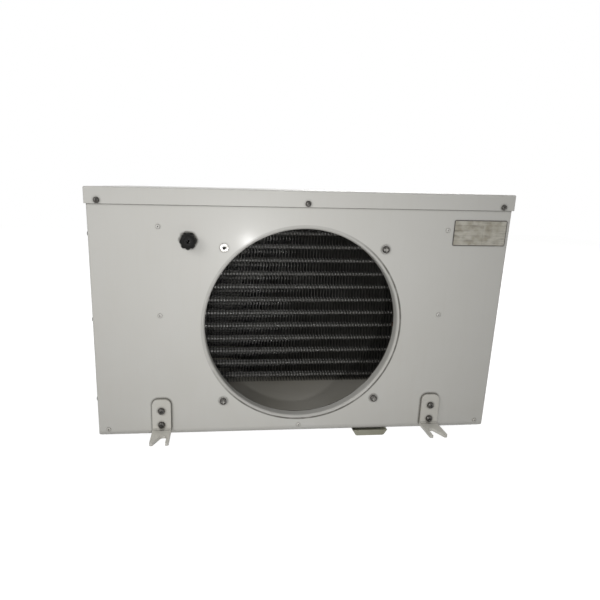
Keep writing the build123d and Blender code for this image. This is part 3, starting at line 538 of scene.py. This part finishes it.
def fasteners(name, node, axis, rings_for, height, body_finish, core_and_highlight_finish, core_from=None):
    """Smooth fasteners in place of a node's plain ones; rings from core_from on have their own finish."""
    parts = ([], [], [])

    def finish_of(ring):
        return 0 if core_from is None or ring < core_from else 1

    for lowest, highest in solids_of(node, axis, fastener_gap):
        middle = (lowest + highest) / 2
        out = Vector([0, 0, 0])
        out[axis] = 1 if middle[axis] > 0 else -1
        top = highest[axis] if out[axis] > 0 else lowest[axis]
        origin = middle.copy()
        origin[axis] = top - out[axis] * height
        length = highest[axis] - lowest[axis] - height
        add_rings(parts, rings_for(length), origin, out, finish_of)
    mesh = bpy.data.meshes.new(name)
    mesh.from_pydata(parts[0], [], parts[1])
    mesh.polygons.foreach_set("material_index", parts[2])
    mesh.polygons.foreach_set("use_smooth", [True] * len(parts[1]))
    mesh.set_sharp_from_angle(angle=math.radians(38))
    mesh.update()
    piece = bpy.data.objects.new(name, mesh)
    bpy.context.scene.collection.objects.link(piece)
    mesh.materials.append(finishes[body_finish])
    mesh.materials.append(finishes[core_and_highlight_finish])
    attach(piece, "cooler")
    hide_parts(node)


def small_screw(length):
    return screw_rings(screw_head, screw_height, screw_shank, length)


def bracket_bolt(length):
    return screw_rings(bolt_head, bolt_height, bolt_shank, length)


def fan_screw(length):
    return screw_rings(fan_screw_head, bolt_height, fan_screw_shank, length)


def rivet(length):
    return rivet_rings(rivet_head, rivet_height, rivet_shank, length)


core_ring = 8    # the ring where the cross recess of a screw, or the hole of a rivet, begins
for name, node, axis, rings_for, height, body_finish, core_and_highlight_finish, core_from in (
    ("pan_head_screws", "cover_screws", 1, small_screw, screw_height, "dark_zinc", "bright_zinc", None),
    ("side_panel_screws", "side_screws", 0, small_screw, screw_height, "dark_zinc", "bright_zinc", None),
    ("bracket_screws", "bracket_bolts", 1, bracket_bolt, bolt_height, "dark_zinc", "bright_zinc", None),
    # the fan screws' cross recesses are bright zinc in dark heads: a painted highlight in the middle of
    # each head
    ("fan_fixing_screws", "fan_screws", 1, fan_screw, bolt_height, "dark_zinc", "bright_zinc", core_ring),
    ("partition_blind_rivets", "partition_rivets", 1, rivet, rivet_height,
     "white_paint", "dark_zinc", core_ring),
    ("pan_blind_rivets", "pan_rivets", 1, rivet, rivet_height,
     "bracket_paint", "dark_zinc", core_ring),
):
    fasteners(name, node, axis, rings_for, height, body_finish, core_and_highlight_finish, core_from)


def smooth_tubes(sides=20):
    """Round tubes in place of the flat-sided ones of the coil."""
    vertices, faces = [], []
    for lowest, highest in solids_of("coil_tubes", 0, 8 * MM):
        if highest.x < 0:
            continue
        middle, radius, reach = (lowest + highest) / 2, (highest.z - lowest.z) / 2, highest.x
        first = len(vertices)
        for x in (-reach, reach):
            for k in range(sides):
                angle = 2 * math.pi * k / sides
                rim = (x, middle.y + radius * math.cos(angle), middle.z + radius * math.sin(angle))
                vertices.append(rim)
        for k in range(sides):
            a, b = first + k, first + (k + 1) % sides
            faces.append((a, b, b + sides, a + sides))
        faces.append(tuple(range(first, first + sides)))
        faces.append(tuple(range(first + sides, first + 2 * sides)))
    mesh = bpy.data.meshes.new("round_tubes")
    mesh.from_pydata(vertices, [], faces)
    mesh.polygons.foreach_set("use_smooth", [len(face) == 4 for face in faces])
    mesh.materials.append(tube_finish)
    piece = bpy.data.objects.new("round_tubes", mesh)
    bpy.context.scene.collection.objects.link(piece)
    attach(piece, "cooler")
    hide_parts("coil_tubes")


smooth_tubes()

# ---------------------------------------------------------------- floor and background


def seen_directly(tree):
    """1 for what the camera, a mirror or glass sees, and 0 for light that falls on things."""
    path = tree.nodes.new("ShaderNodeLightPath").outputs
    total = path["Is Camera Ray"]
    for ray in ("Is Glossy Ray", "Is Transmission Ray"):
        join = tree.nodes.new("ShaderNodeMath")
        join.operation = "MAXIMUM"
        tree.links.new(total, join.inputs[0])
        tree.links.new(path[ray], join.inputs[1])
        total = join.outputs[0]
    return total


def make_floor():
    mesh = bpy.data.meshes.new("floor")
    corners = [(-1, -1), (1, -1), (1, 1), (-1, 1)]
    mesh.from_pydata([(x * floor_reach, y * floor_reach, low.z) for x, y in corners], [], [(0, 1, 2, 3)])
    floor = bpy.data.objects.new("floor", mesh)
    bpy.context.scene.collection.objects.link(floor)
    s = Surface("floor_paper")
    matt = s.add("ShaderNodeBsdfDiffuse", {"Color": (*floor_tone, 1)})
    glow = s.add("ShaderNodeEmission", {"Color": (1, 1, 1, 1)})
    strength = s.math("MULTIPLY", seen_directly(s.tree), floor_glow)
    s.tree.links.new(strength, glow.inputs["Strength"])
    both = s.add("ShaderNodeAddShader", {0: matt.outputs[0], 1: glow.outputs[0]})
    s.tree.links.new(both.outputs[0], s.output.inputs[0])
    floor.data.materials.append(s.material)


def make_world():
    world = bpy.data.worlds.new("studio")
    bpy.context.scene.world = world
    world.use_nodes = True
    tree = world.node_tree
    back = tree.nodes["Background"]
    back.inputs["Color"].default_value = (1, 1, 1, 1)
    level = tree.nodes.new("ShaderNodeMapRange")
    tree.links.new(seen_directly(tree), level.inputs["Value"])
    level.inputs["To Min"].default_value = ambient
    level.inputs["To Max"].default_value = background_white
    tree.links.new(level.outputs[0], back.inputs["Strength"])


def area_light(name, place, aim, size, power, shape="SQUARE"):
    data = bpy.data.lights.new(name, "AREA")
    data.shape = shape
    data.size = size
    data.energy = power
    lamp = bpy.data.objects.new(name, data)
    lamp.location = place
    lamp.rotation_euler = (Vector(aim) - Vector(place)).to_track_quat("-Z", "Y").to_euler()
    bpy.context.scene.collection.objects.link(lamp)
    return lamp


make_floor()
make_world()

eye = Vector((opening.x - camera_left, panel_y - camera_distance, opening.z + camera_above))
near_lamp = Vector((opening.x - lamp_left, eye.y, opening.z + lamp_above))
area_light("near_lamp", near_lamp, (near_lamp.x, panel_y, near_lamp.z), lamp_size, lamp_power, "DISK")
by_camera = Vector((eye.x - fill_left, eye.y, eye.z + fill_above))
fill = area_light("camera_fill", by_camera, opening, fill_size, fill_power, "DISK")
fill.visible_glossy = False
area_light("soft_left", left_lamp, opening, left_size, left_power)
area_light("soft_back", back_lamp, (0, 0, high.z / 2), back_size, back_power)
area_light("soft_right", right_lamp, (0, 0, high.z / 2), right_size, right_power)

# ---------------------------------------------------------------- camera

data = bpy.data.cameras.new("camera")
data.lens = camera_lens
data.sensor_width = 36
data.shift_x, data.shift_y = camera_shift
data.clip_start = 0.01
camera = bpy.data.objects.new("camera", data)
turn = (
    Matrix.Rotation(-camera_pan, 4, "Z")
    @ Matrix.Rotation(math.pi / 2 + camera_tilt, 4, "X")
    @ Matrix.Rotation(camera_roll, 4, "Z")
)
camera.matrix_world = Matrix.Translation(eye) @ turn
bpy.context.scene.collection.objects.link(camera)
bpy.context.scene.camera = camera
bpy.context.scene.view_settings.view_transform = "Standard"
